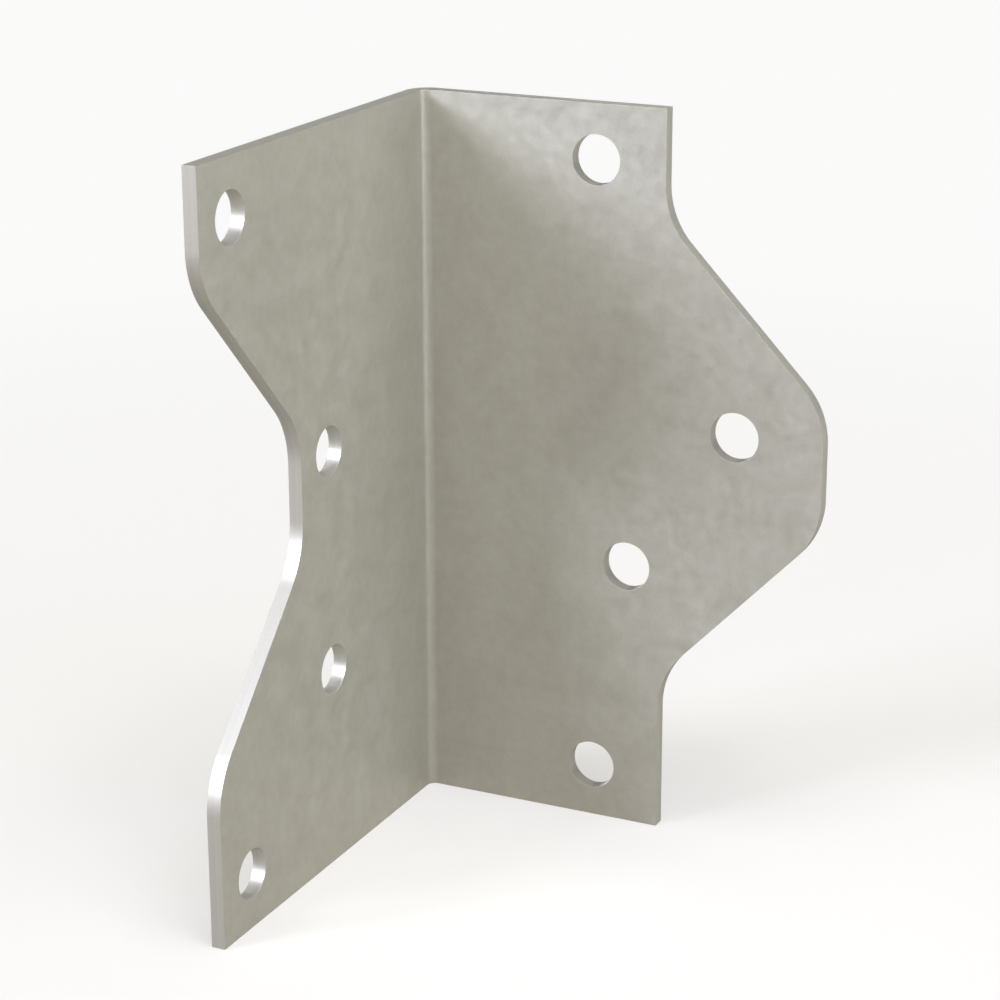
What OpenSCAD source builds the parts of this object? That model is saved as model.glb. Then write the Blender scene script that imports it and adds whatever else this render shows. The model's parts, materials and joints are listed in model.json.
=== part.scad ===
// Hurricane tie: a gusset angle folded from one blank of galvanised sheet steel.
//
// Two legs meet at a square fold. The lobe leg has a lobe on its free edge, and the waist leg
// has a waist at the same height: the same wave cuts both edges, so blanks that lie side by side
// on the strip leave no waste between them. The tie stands on end with its fold upright. Timber
// seats against the far side of each leg, and the screws go in from the hollow side.
//
// +Z runs up the fold. The lobe leg lies along X and the waist leg along Y. The origin is on the
// ground, under the middle of the square that the two legs span.

/* [Sheet] */
// Thickness of the sheet
sheet_t = 2; // [1.2:0.1:4]
// Radius on the hollow side of the fold
fold_r = 1.3; // [0.4:0.1:6]

/* [Legs] */
// Height of both legs, along the fold
height = 104; // [98:1:140]
// Width of a leg where it is narrow, from the far face of the other leg
narrow_w = 38.3; // [32:0.1:46]
// Width of a leg where it is wide, from the far face of the other leg
wide_w = 61.6; // [54:0.1:72]

/* [Wave of the free edges] */
// Height of the middle of the lobe and of the waist
wave_z = 56; // [50:0.5:62]
// Length of the straight at the lobe and at the waist, between sharp corners
straight_l = 17.2; // [12:0.1:26]
// Height over which the edge slopes from narrow to wide
slope_h = 24.3; // [18:0.1:28]
// Radius that rounds each corner of the wave
corner_r = 11.6; // [3:0.1:15]

/* [Screw holes] */
// Diameter of each hole, for a quarter-inch structural screw
hole_d = 7; // [4:0.1:9]
// From the top and bottom ends to the holes next to them
end_gap = 7.7; // [6:0.1:12]
// From the free edge of the waist leg to each of its holes
waist_gap = 7.5; // [6:0.1:12]
// From the free edge of the lobe leg to its top and bottom holes
corner_gap = 10.2; // [6:0.1:14]
// From the tip of the lobe to the hole in it
lobe_gap = 12.7; // [7:0.1:16]
// Height of the hole in the lobe, and of the upper hole in the waist
upper_z = 59.8; // [52:0.1:66]
// From the far face of the waist leg to the lobe leg's inner hole
inner_x = 33.2; // [20:0.1:40]
// Height of the lobe leg's inner hole
inner_z = 38.9; // [32:0.1:44]
// Height of the lower hole in the waist
lower_z = 28.5; // [24:0.1:40]

/* [Hidden] */
$fn = 96;
zinc = [0.66, 0.65, 0.6];

// The fold's bend takes this much of each leg's width
bend_w = fold_r + sheet_t;
// How far the cut or fill at a round reaches, over the distance to the sharp corner
kite_reach = 1.2;
// The least overlap that makes two edges cross instead of touch
hair = 0.002;

// Heights of the wave's four sharp corners
low_z = wave_z - straight_l / 2 - slope_h;
lower_mid_z = wave_z - straight_l / 2;
upper_mid_z = wave_z + straight_l / 2;
high_z = wave_z + straight_l / 2 + slope_h;

// Each screw hole's distance from the far face of the other leg, and its height
lobe_holes = [
    [narrow_w - corner_gap, end_gap],
    [inner_x, inner_z],
    [wide_w - lobe_gap, upper_z],
    [narrow_w - corner_gap, height - end_gap]
];
waist_holes = [
    [wide_w - waist_gap, end_gap],
    [narrow_w - waist_gap, lower_z],
    [narrow_w - waist_gap, upper_z],
    [wide_w - waist_gap, height - end_gap]
];

function unit(v) = v / norm(v);

// A leg's free edge from bottom to top, with sharp corners
function free_edge(end_w, middle_w) = [
    [end_w, 0],
    [end_w, low_z],
    [middle_w, lower_mid_z],
    [middle_w, upper_mid_z],
    [end_w, high_z],
    [end_w, height]
];

// What lies past the arc that rounds corner i of a path, out to a kite from the arc's centre.
// The arc is a hair wide of its tangents, so that it crosses both straights cleanly.
module past_arc(path, i) {
    back = unit(path[i - 1] - path[i]);
    on = unit(path[i + 1] - path[i]);
    half_angle = acos(back * on) / 2;
    tangent_l = corner_r / tan(half_angle);
    centre = unit(back + on) * corner_r / sin(half_angle);
    kite = [[0, 0], back * tangent_l - centre, -centre, on * tangent_l - centre];
    translate(path[i] + centre)
        difference() {
            polygon(kite_reach * kite);
            circle(corner_r + hair);
        }
}

// A flat leg from the bend to its free edge: the arcs fill the inward corners
// of the wave and trim the outward ones
module leg_outline(end_w, middle_w, inward, outward) {
    path = free_edge(end_w, middle_w);
    difference() {
        union() {
            polygon(concat([[bend_w, 0]], path, [[bend_w, height]]));
            for (i = inward) past_arc(path, i);
        }
        for (i = outward) past_arc(path, i);
    }
}

// Stands a flat leg up in the XZ plane, with its far face at y = 0
module stand(holes) {
    rotate([90, 0, 0])
        linear_extrude(sheet_t)
            difference() {
                children();
                for (hole = holes) translate(hole) circle(d = hole_d);
            }
}

module lobe_leg() {
    stand(lobe_holes)
        leg_outline(narrow_w, wide_w, inward = [1, 4], outward = [2, 3]);
}

module waist_leg() {
    mirror([1, 1, 0])
        stand(waist_holes)
            leg_outline(wide_w, narrow_w, inward = [2, 3], outward = [1, 4]);
}

// The quarter turn that joins the legs
module bend() {
    translate([bend_w, -bend_w, 0])
        rotate([0, 0, 90])
            rotate_extrude(angle = 90)
                translate([fold_r, 0])
                    square([sheet_t, height]);
}

module folded_tie() {
    color(zinc)
        translate([-wide_w / 2, wide_w / 2, 0])
            union() {
                bend();
                lobe_leg();
                waist_leg();
            }
}

folded_tie();
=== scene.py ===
import json
from math import atan2, copysign, cos, hypot, pi, radians, sin, tan

import bmesh
import bpy
from mathutils import Matrix, Vector


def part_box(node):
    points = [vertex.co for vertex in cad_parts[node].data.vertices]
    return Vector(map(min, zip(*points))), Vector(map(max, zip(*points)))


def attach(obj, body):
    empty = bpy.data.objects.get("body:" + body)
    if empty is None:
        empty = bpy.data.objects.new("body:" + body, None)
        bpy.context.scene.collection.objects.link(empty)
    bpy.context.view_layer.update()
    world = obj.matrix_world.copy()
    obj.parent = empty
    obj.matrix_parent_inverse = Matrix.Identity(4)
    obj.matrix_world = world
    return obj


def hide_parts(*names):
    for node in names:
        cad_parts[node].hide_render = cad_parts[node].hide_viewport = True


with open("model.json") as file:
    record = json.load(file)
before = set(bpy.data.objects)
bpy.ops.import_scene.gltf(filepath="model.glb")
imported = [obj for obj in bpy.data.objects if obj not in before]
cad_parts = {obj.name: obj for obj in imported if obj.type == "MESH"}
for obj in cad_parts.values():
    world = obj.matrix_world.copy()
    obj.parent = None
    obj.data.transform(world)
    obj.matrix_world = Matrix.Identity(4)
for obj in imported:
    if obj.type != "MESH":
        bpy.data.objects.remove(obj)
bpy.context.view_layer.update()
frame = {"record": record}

# Hurricane tie: the looks of a gusset angle folded from galvanised sheet, standing on its end.
# Metres throughout, +Z up the fold, lobe leg along X, waist leg along Y, as in the frame.
print("frame: the packed tie is loaded")

scene = bpy.context.scene
boxLow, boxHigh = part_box("folded_tie")
boxMiddle = (boxLow + boxHigh) / 2


def linked(obj):
    scene.collection.objects.link(obj)
    return obj


def objectOf(bm, name):
    mesh = bpy.data.meshes.new(name)
    bm.to_mesh(mesh)
    bm.free()
    return linked(bpy.data.objects.new(name, mesh))


def around(azimuth, elevation, distance):
    # offset from a centre; azimuth 0 is in front, on the -Y side, and 90 is on the +X side
    turn, lift = radians(azimuth), radians(elevation)
    return distance * Vector((sin(turn) * cos(lift), -cos(turn) * cos(lift), sin(lift)))


def facing(place, target):
    turned = (target - place).to_track_quat("-Z", "Y").to_matrix().to_4x4()
    return Matrix.Translation(place) @ turned


view = {
    "azimuth": 25.66,                       # degrees, as are elevation and roll
    "elevation": 18.16,
    "roll": -0.171,                         # leans the camera a little
    "distance": 0.3588,
    "aim": (-0.00338, -0.00006, 0.0045),    # from the middle of the tie
    "lens": 98.98,                          # mm, as is the sensor's width
    "sensor": 36,
    "near": 0.01,
    "far": 30.0,
}


def makeCamera():
    data = bpy.data.cameras.new("camera")
    data.sensor_width = view["sensor"]
    data.lens = view["lens"]
    data.clip_start = view["near"]
    data.clip_end = view["far"]
    camera = linked(bpy.data.objects.new("camera", data))
    target = boxMiddle + Vector(view["aim"])
    place = target + around(view["azimuth"], view["elevation"], view["distance"])
    camera.matrix_world = facing(place, target) @ Matrix.Rotation(radians(view["roll"]), 4, "Z")
    scene.camera = camera


makeCamera()
print("camera: placed")


class Signal:
    # a socket of a node tree; an expression on signals adds its Math nodes
    def __init__(self, board, socket):
        self.board = board
        self.socket = socket

    def maths(self, kind, *values):
        return self.board.add("ShaderNodeMath", {"operation": kind}, dict(enumerate(values)))

    def __add__(self, other):
        return self.maths("ADD", self, other)

    def __sub__(self, other):
        return self.maths("SUBTRACT", self, other)

    def __mul__(self, other):
        return self.maths("MULTIPLY", self, other)

    def __rsub__(self, other):
        return self.maths("SUBTRACT", other, self)

    __radd__ = __add__
    __rmul__ = __mul__


class Board:
    # the node tree of a material or of the world
    def __init__(self, tree):
        self.tree = tree
        tree.nodes.clear()

    def add(self, kind, settings=None, inputs=None, output=0):
        node = self.tree.nodes.new(kind)
        for key, value in (settings or {}).items():
            if key == "stops":
                self.setStops(node.color_ramp.elements, value)
            else:
                setattr(node, key, value)
        for key, value in (inputs or {}).items():
            if isinstance(value, Signal):
                self.tree.links.new(value.socket, node.inputs[key])
            else:
                node.inputs[key].default_value = value
        return Signal(self, node.outputs[output]) if len(node.outputs) else None

    def setStops(self, elements, stops):
        while len(elements) < len(stops):
            elements.new(1)
        for element, (place, shade) in zip(elements, stops):
            element.position = place
            element.color = (shade, shade, shade, 1)

    def ramp(self, signal, *stops):
        return self.add("ShaderNodeValToRGB", {"stops": stops}, {"Fac": signal})

    def noise(self, coords, scale, detail, roughness=0.5, distortion=0):
        inputs = {"Vector": coords, "Scale": scale, "Detail": detail}
        inputs.update({"Roughness": roughness, "Distortion": distortion})
        return self.add("ShaderNodeTexNoise", None, inputs)

    def mix(self, factor, colourA, colourB):
        # a colour mix has its factor in socket 0, its colours in 6 and 7, and its result in 2
        return self.add("ShaderNodeMix", {"data_type": "RGBA"},
                        {0: factor, 6: colourA, 7: colourB}, 2)

    def split(self, vector):
        node = self.add("ShaderNodeSeparateXYZ", None, {"Vector": vector}).socket.node
        return [Signal(self, socket) for socket in node.outputs]

    def join(self, x, y, z):
        return self.add("ShaderNodeCombineXYZ", None, {"X": x, "Y": y, "Z": z})


def newMaterial(name):
    material = bpy.data.materials.new(name)
    material.use_nodes = True
    return material, Board(material.node_tree)


noiseMiddle = 0.5              # what a noise strays from, up and down
zinc = {
    "bright": (0.676, 0.670, 0.600, 1),
    "dull": (0.570, 0.564, 0.494, 1),
    "metallic": 0.8,
    "rough": 0.45,
    "farShift": 0.37,          # moves the pattern on for the far side
    # scales are per metre, so clouds are about 2 cm across, dimples 4 mm and mottle 1.6 mm
    "clouds": {"scale": 60.0, "detail": 2, "distortion": 0.3},
    "dimples": {"scale": 240.0, "detail": 0},
    "mottle": {"scale": 620.0, "detail": 2, "roughness": 0.55},
    "grain": {"scale": 3200.0, "detail": 1},
    # the share of each in the tone, which runs from dull to bright over a part of its range
    "cloudTone": 0.15,
    "dimpleTone": 0.15,
    "mottleTone": 0.45,
    "grainTone": 0.25,
    "toneFrom": 0.3,
    "toneTo": 0.7,
    # how much the roughness follows them
    "dimpleRough": 0.08,
    "mottleRough": 0.15,
    # heights in metres
    "dimpleDepth": 0.000032,
    "mottleDepth": 0.000020,
    "grainDepth": 0.0000012,
}
shear = {
    "bright": (0.655, 0.645, 0.592, 1),
    "dull": (0.575, 0.565, 0.512, 1),
    "burnish": 0.42,           # share of the thickness that the punch leaves smooth
    "breakSoft": 0.12,         # share over which it turns into the rough break
    "marks": {"scale": 2600.0, "detail": 2},
    "markRun": 0.0002,         # metres of pattern in the thickness, so few that marks run through it
    "breakTone": 0.5,
    "markTone": 0.5,
    "rough": 0.408,
    "breakRough": 0.036,
    "markRough": 0.06,
    "markDepth": 0.000002,     # metres, on the break
    "burnishDepth": 0.4,       # share of that depth on the smooth band
}


def readLay(board):
    # "lay" on the tie's points is where each lies in the flat blank: along it, across its
    # thickness from 0 on the hollow side to 1 on the far side, and up it
    return board.split(board.add("ShaderNodeAttribute", {"attribute_name": "lay"}, output="Vector"))


def zincSurface(board, colour, rough, relief):
    bump = board.add("ShaderNodeBump", None, {"Strength": 1, "Distance": 1, "Height": relief})
    surface = board.add("ShaderNodeBsdfPrincipled", None, {
        "Base Color": colour, "Metallic": zinc["metallic"], "Roughness": rough, "Normal": bump})
    board.add("ShaderNodeOutputMaterial", None, {"Surface": surface})


def zincSkin():
    material, board = newMaterial("galvanisedSkin")
    along, across, up = readLay(board)
    coords = board.join(along, across * zinc["farShift"], up)
    clouds = board.noise(coords, **zinc["clouds"])
    dimples = board.noise(coords, **zinc["dimples"])
    mottle = board.noise(coords, **zinc["mottle"])
    grain = board.noise(coords, **zinc["grain"])
    blend = (clouds * zinc["cloudTone"] + dimples * zinc["dimpleTone"]
             + mottle * zinc["mottleTone"] + grain * zinc["grainTone"])
    tone = board.ramp(blend, (zinc["toneFrom"], 0), (zinc["toneTo"], 1))
    colour = board.mix(tone, zinc["dull"], zinc["bright"])
    rough = (zinc["rough"] + (mottle - noiseMiddle) * zinc["mottleRough"]
             + (dimples - noiseMiddle) * zinc["dimpleRough"])
    relief = (dimples * zinc["dimpleDepth"] + mottle * zinc["mottleDepth"]
              + grain * zinc["grainDepth"])
    zincSurface(board, colour, rough, relief)
    return material


def cutEdge():
    material, board = newMaterial("cutEdge")
    along, across, up = readLay(board)
    coords = board.join(along, across * shear["markRun"], up)
    marks = board.noise(coords, **shear["marks"])
    broken = board.ramp(across, (shear["burnish"], 0), (shear["burnish"] + shear["breakSoft"], 1))
    tone = broken * shear["breakTone"] + marks * shear["markTone"]
    colour = board.mix(tone, shear["bright"], shear["dull"])
    rough = shear["rough"] + broken * shear["breakRough"] + marks * shear["markRough"]
    depth = shear["burnishDepth"] + broken * (1 - shear["burnishDepth"])
    zincSurface(board, colour, rough, marks * depth * shear["markDepth"])
    return material


tie = {
    "sheet": 0.002,            # thickness
    "foldRadius": 0.0013,      # inside of the fold
    "narrow": 0.0383,          # lobe leg's ends, and the waist, from the other leg's far face
    "wide": 0.0616,            # waist leg's ends, and the lobe
    "waveHeight": 0.056,       # middle of the wave above the ground
    "waveStraight": 0.0172,    # upright run along the lobe and along the waist
    "waveSlope": 0.0243,       # height of each slanting run
    "cornerRadius": 0.0116,    # rounding of the wave's corners
    "edgeRing": 0.00035,       # even band of faces beside each cut edge
    "edgeRound": 0.00002,      # softened cut edge
    "edgeSteps": 3,
    "arcSteps": 14,
    "foldSteps": 24,
    "holeSteps": 80,
    "weld": 0.000001,
    "sharp": 40,               # degrees, the least turn that counts as a cut edge
    "crease": 10,              # degrees, shading runs on over a smaller turn than this
}
height = boxHigh.z - boxLow.z
foldReach = tie["foldRadius"] + tie["sheet"]
foldX = boxLow.x + foldReach
foldY = boxHigh.y - foldReach
innerX = boxLow.x + tie["sheet"]
innerY = boxHigh.y - tie["sheet"]
upward = Vector((0, 0, 1))
# swaps the two legs across the upright plane that halves the fold
legSum = boxLow.x + boxHigh.y
acrossFold = Matrix(((0, -1, 0, legSum), (-1, 0, 0, legSum), (0, 0, 1, 0), (0, 0, 0, 1)))


def runOn(bm, vert, step):
    end = bmesh.ops.extrude_vert_indiv(bm, verts=[vert])["verts"][0]
    bmesh.ops.translate(bm, verts=[end], vec=step)
    return end


def swing(bm, vert, heading, angle):
    # an arc that leaves along the heading; a positive angle turns left, seen from the hollow side
    side = Vector((-heading.z, 0, heading.x)) * copysign(1, angle)
    made = bmesh.ops.spin(
        bm, geom=[vert], cent=vert.co + side * tie["cornerRadius"], axis=(0, -1, 0),
        dvec=(0, 0, 0), angle=angle, steps=tie["arcSteps"])
    return made["geom_last"][0]


def drawLeg(bm, endWidth, middleWidth, holes):
    # one leg's flat face, drawn beside the fold in the lobe leg's plane
    swell = middleWidth - endWidth
    turn = atan2(swell, tie["waveSlope"])
    tangent = tie["cornerRadius"] * tan(abs(turn) / 2)
    slant = hypot(swell, tie["waveSlope"]) - 2 * tangent
    lowEnd = tie["waveHeight"] - tie["waveStraight"] / 2 - tie["waveSlope"]
    highEnd = height - lowEnd - tie["waveStraight"] - 2 * tie["waveSlope"]
    outward = Vector((sin(turn), 0, cos(turn)))
    inward = Vector((-sin(turn), 0, cos(turn)))
    runs = [
        (upward, lowEnd - tangent, -turn), (outward, slant, turn),
        (upward, tie["waveStraight"] - 2 * tangent, turn), (inward, slant, -turn),
        (upward, highEnd - tangent, 0)]
    foot = bmesh.ops.create_vert(bm, co=(foldX, innerY, boxLow.z))["vert"][0]
    vert = runOn(bm, foot, Vector((endWidth - foldReach, 0, 0)))
    for heading, length, angle in runs:
        vert = runOn(bm, vert, heading * length)
        if angle:
            vert = swing(bm, vert, heading, angle)
    vert = runOn(bm, vert, Vector((foldReach - endWidth, 0, 0)))
    foldLine = bmesh.ops.contextual_create(bm, geom=[foot, vert])["edges"]
    for place, radius in holes:
        upright = Matrix.Translation(place) @ Matrix.Rotation(pi / 2, 4, "X")
        bmesh.ops.create_circle(bm, segments=tie["holeSteps"], radius=radius, matrix=upright)
    edges = [edge for edge in bm.edges if edge.is_wire]
    bmesh.ops.triangle_fill(bm, use_beauty=True, edges=edges, normal=(0, -1, 0))
    return foldLine


def screwHoles(leg):
    # middle and radius of each bore in the record whose name starts with the leg's
    mounts = frame["record"]["mounts"]
    bores = [mount for mount in mounts if mount["kind"] == "bore" and mount["name"].startswith(leg)]
    return [(Vector(bore["pos_m"]), bore["dims"]["r_mm"] / 1000) for bore in bores]


def drawSheet(bm):
    # the hollow side of the sheet: waist leg, lobe leg, and the fold between them
    waistHoles = [(acrossFold @ place, radius) for place, radius in screwHoles("waist_leg")]
    drawLeg(bm, tie["wide"], tie["narrow"], waistHoles)
    bmesh.ops.transform(bm, matrix=acrossFold, verts=bm.verts)
    foldLine = drawLeg(bm, tie["narrow"], tie["wide"], screwHoles("lobe_leg"))
    bmesh.ops.spin(
        bm, geom=foldLine, cent=(foldX, foldY, 0), axis=(0, 0, 1), dvec=(0, 0, 0),
        angle=pi / 2, steps=tie["foldSteps"])
    bmesh.ops.remove_doubles(bm, verts=bm.verts, dist=tie["weld"])
    bmesh.ops.recalc_face_normals(bm, faces=bm.faces)
    bmesh.ops.inset_region(
        bm, faces=bm.faces[:], use_boundary=True, use_even_offset=True, thickness=tie["edgeRing"])


def thickenSheet(bm):
    # the far side is a copy of the hollow side, moved out from each leg and grown round the fold
    skin = set(bm.faces)
    made = bmesh.ops.extrude_face_region(bm, geom=bm.faces[:], use_keep_orig=True)["geom"]
    skin.update(item for item in made if isinstance(item, bmesh.types.BMFace))
    farVerts = [item for item in made if isinstance(item, bmesh.types.BMVert)]
    lobe = [vert for vert in farVerts if vert.co.x > foldX + tie["weld"]]
    waist = [vert for vert in farVerts if vert.co.y < foldY - tie["weld"]]
    fold = list(set(farVerts) - set(lobe) - set(waist))
    growth = foldReach / tie["foldRadius"]
    bmesh.ops.translate(bm, verts=lobe, vec=(0, tie["sheet"], 0))
    bmesh.ops.translate(bm, verts=waist, vec=(-tie["sheet"], 0, 0))
    bmesh.ops.scale(
        bm, vec=(growth, growth, 1), verts=fold, space=Matrix.Translation((-foldX, -foldY, 0)))
    for face in bm.faces:
        face.material_index = 0 if face in skin else 1
        face.smooth = True
    bmesh.ops.recalc_face_normals(bm, faces=bm.faces)


def softenCuts(bm):
    cuts = [edge for edge in bm.edges if edge.calc_face_angle(0) > radians(tie["sharp"])]
    bmesh.ops.bevel(
        bm, geom=cuts, offset=tie["edgeRound"], offset_type="OFFSET", affect="EDGES",
        segments=tie["edgeSteps"], profile=0.5, material=-1, loop_slide=False)
    for edge in bm.edges:
        edge.smooth = edge.calc_face_angle(0) < radians(tie["crease"])


def layOf(place):
    # where a point of the folded sheet lies in the flat blank
    foldLength = (tie["foldRadius"] + tie["sheet"] / 2) * pi / 2
    up = place.z - boxLow.z
    if place.x > foldX:
        return Vector((foldLength / 2 + place.x - foldX, (place.y - innerY) / tie["sheet"], up))
    if place.y < foldY:
        return Vector((place.y - foldY - foldLength / 2, (innerX - place.x) / tie["sheet"], up))
    fromMiddle = atan2(place.y - foldY, foldX - place.x) / (pi / 2) - 1 / 2
    depth = hypot(place.x - foldX, place.y - foldY) - tie["foldRadius"]
    return Vector((fromMiddle * foldLength, depth / tie["sheet"], up))


def makeTie():
    bm = bmesh.new()
    drawSheet(bm)
    print("tie: hollow side drawn,", len(bm.faces), "faces")
    thickenSheet(bm)
    softenCuts(bm)
    lay = bm.verts.layers.float_vector.new("lay")
    for vert in bm.verts:
        vert[lay] = layOf(vert.co)
    piece = objectOf(bm, "foldedTieSheet")
    piece.data.materials.append(zincSkin())
    piece.data.materials.append(cutEdge())
    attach(piece, "root")
    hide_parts("folded_tie")
    print("tie: sheet folded and thickened,", len(piece.data.polygons), "faces")


makeTie()

studio = {
    # azimuth, elevation, distance, width, height, radiance, colour
    "lights": {
        "key": (-38.4, 24.5, 2.5, 0.90, 0.90, 19.3, (0.93, 0.96, 1.12)),
        "front": (-5, 20, 1.0, 0.40, 0.40, 3.05, (0.99, 0.965, 1.05)),
        "frontLow": (45, 8, 1.0, 0.80, 0.30, 0.68, (1.04, 1.01, 0.93)),
        "sideLow": (100, 2, 1.0, 0.50, 0.25, 4.6, (0.95, 1.025, 1.005)),
        "sideWide": (95, 14, 1.0, 0.90, 0.50, 1.75, (0.99, 1.03, 0.99)),
        "highRight": (60, 50, 1.0, 0.70, 0.60, 4.4, (0.94, 0.93, 1.17)),
        "top": (86, 84, 1.0, 0.80, 0.80, 4.25, (1.07, 1.03, 0.885)),
        "back": (180, 15, 1.0, 0.80, 0.40, 0.47, (1.06, 1.12, 0.84)),
        # light that a pale floor throws back, for the outer faces
        "lowLeft": (-72, -4, 1.0, 0.60, 0.40, 2.6, (1.0, 0.98, 0.94)),
        "lowBack": (-135, -10, 1.0, 0.60, 0.40, 1.6, (1.0, 0.98, 0.94)),
        "lowRear": (192, -12, 1.0, 0.60, 0.40, 0.9, (1.0, 0.99, 1.0)),
    },
    "world": (1.06, 0.98, 0.85, 1),
    # strength of the glow by height, from 0 straight below over 0.5 at the horizon to 1 above
    "worldStops": ((0.0, 0.34), (0.35, 0.38), (0.495, 0.38), (0.51, 0.01)),
}
floor = {
    "drop": 0.00005,                    # below the tie's foot
    "reach": 5.0,
    "coveRadius": 1.5,
    "coveSteps": 12,
    "turns": 64,
    "paper": (0.66, 0.65, 0.62, 1),     # reflects this much of the lamps' light
    "pale": (0.955, 0.955, 0.95, 1),    # and glows this pale further off
    "glow": 0.45,                       # share of the glow beside the tie
    "fadeFrom": 0.05,                   # from the origin, where the share starts to grow
    "fadeTo": 0.40,
}


def makeLights():
    for name, values in studio["lights"].items():
        azimuth, elevation, distance, width, depth, radiance, colour = values
        lamp = bpy.data.lights.new(name, "AREA")
        lamp.shape = "RECTANGLE"
        lamp.size = width
        lamp.size_y = depth
        lamp.color = colour
        lamp.energy = radiance * pi * width * depth
        obj = linked(bpy.data.objects.new(name, lamp))
        obj.matrix_world = facing(boxMiddle + around(azimuth, elevation, distance), boxMiddle)
        obj.visible_camera = False


def makeWorld():
    world = bpy.data.worlds.new("studio")
    world.use_nodes = True
    scene.world = world
    board = Board(world.node_tree)
    # a direction's height runs from -1 to 1, and a ramp from 0 to 1
    up = board.split(board.add("ShaderNodeTexCoord"))[2]
    glow = board.ramp((up + 1) * 0.5, *studio["worldStops"])
    light = board.add("ShaderNodeBackground", None, {"Color": studio["world"], "Strength": glow})
    board.add("ShaderNodeOutputWorld", None, {"Surface": light})


def floorPaper():
    material, board = newMaterial("floorPaper")
    coords = board.add("ShaderNodeTexCoord", output="Object")
    away = board.add("ShaderNodeVectorMath", {"operation": "LENGTH"}, {0: coords}, "Value")
    fade = board.add("ShaderNodeMapRange", {"interpolation_type": "SMOOTHSTEP"}, {
        "Value": away, "From Min": floor["fadeFrom"], "From Max": floor["fadeTo"],
        "To Min": floor["glow"]})
    paper = board.add("ShaderNodeBsdfDiffuse", None, {"Color": floor["paper"]})
    glow = board.add("ShaderNodeEmission", None, {"Color": floor["pale"]})
    surface = board.add("ShaderNodeMixShader", None, {0: fade, 1: paper, 2: glow})
    board.add("ShaderNodeOutputMaterial", None, {"Surface": surface})
    return material


def makeFloor():
    # a round floor whose rim sweeps up into a cove, seen by the camera alone
    bm = bmesh.new()
    vert = bmesh.ops.create_vert(bm, co=(0, 0, boxLow.z - floor["drop"]))["vert"][0]
    vert = runOn(bm, vert, Vector((floor["reach"] - floor["coveRadius"], 0, 0)))
    made = bmesh.ops.spin(
        bm, geom=[vert], cent=vert.co + upward * floor["coveRadius"], axis=(0, -1, 0),
        dvec=(0, 0, 0), angle=pi / 2, steps=floor["coveSteps"])
    runOn(bm, made["geom_last"][0], upward * floor["reach"])
    bmesh.ops.spin(
        bm, geom=bm.edges[:] + bm.verts[:], cent=(0, 0, 0), axis=(0, 0, 1), dvec=(0, 0, 0),
        angle=2 * pi, steps=floor["turns"], use_merge=True)
    bmesh.ops.remove_doubles(bm, verts=bm.verts, dist=tie["weld"])
    bmesh.ops.recalc_face_normals(bm, faces=bm.faces)
    bmesh.ops.reverse_faces(bm, faces=bm.faces)
    for face in bm.faces:
        face.smooth = True
    obj = objectOf(bm, "floor")
    obj.data.materials.append(floorPaper())
    obj.visible_diffuse = False
    obj.visible_glossy = False
    obj.visible_shadow = False


makeLights()
makeWorld()
makeFloor()
scene.view_settings.view_transform = "Standard"
print("studio: floor and lights set")
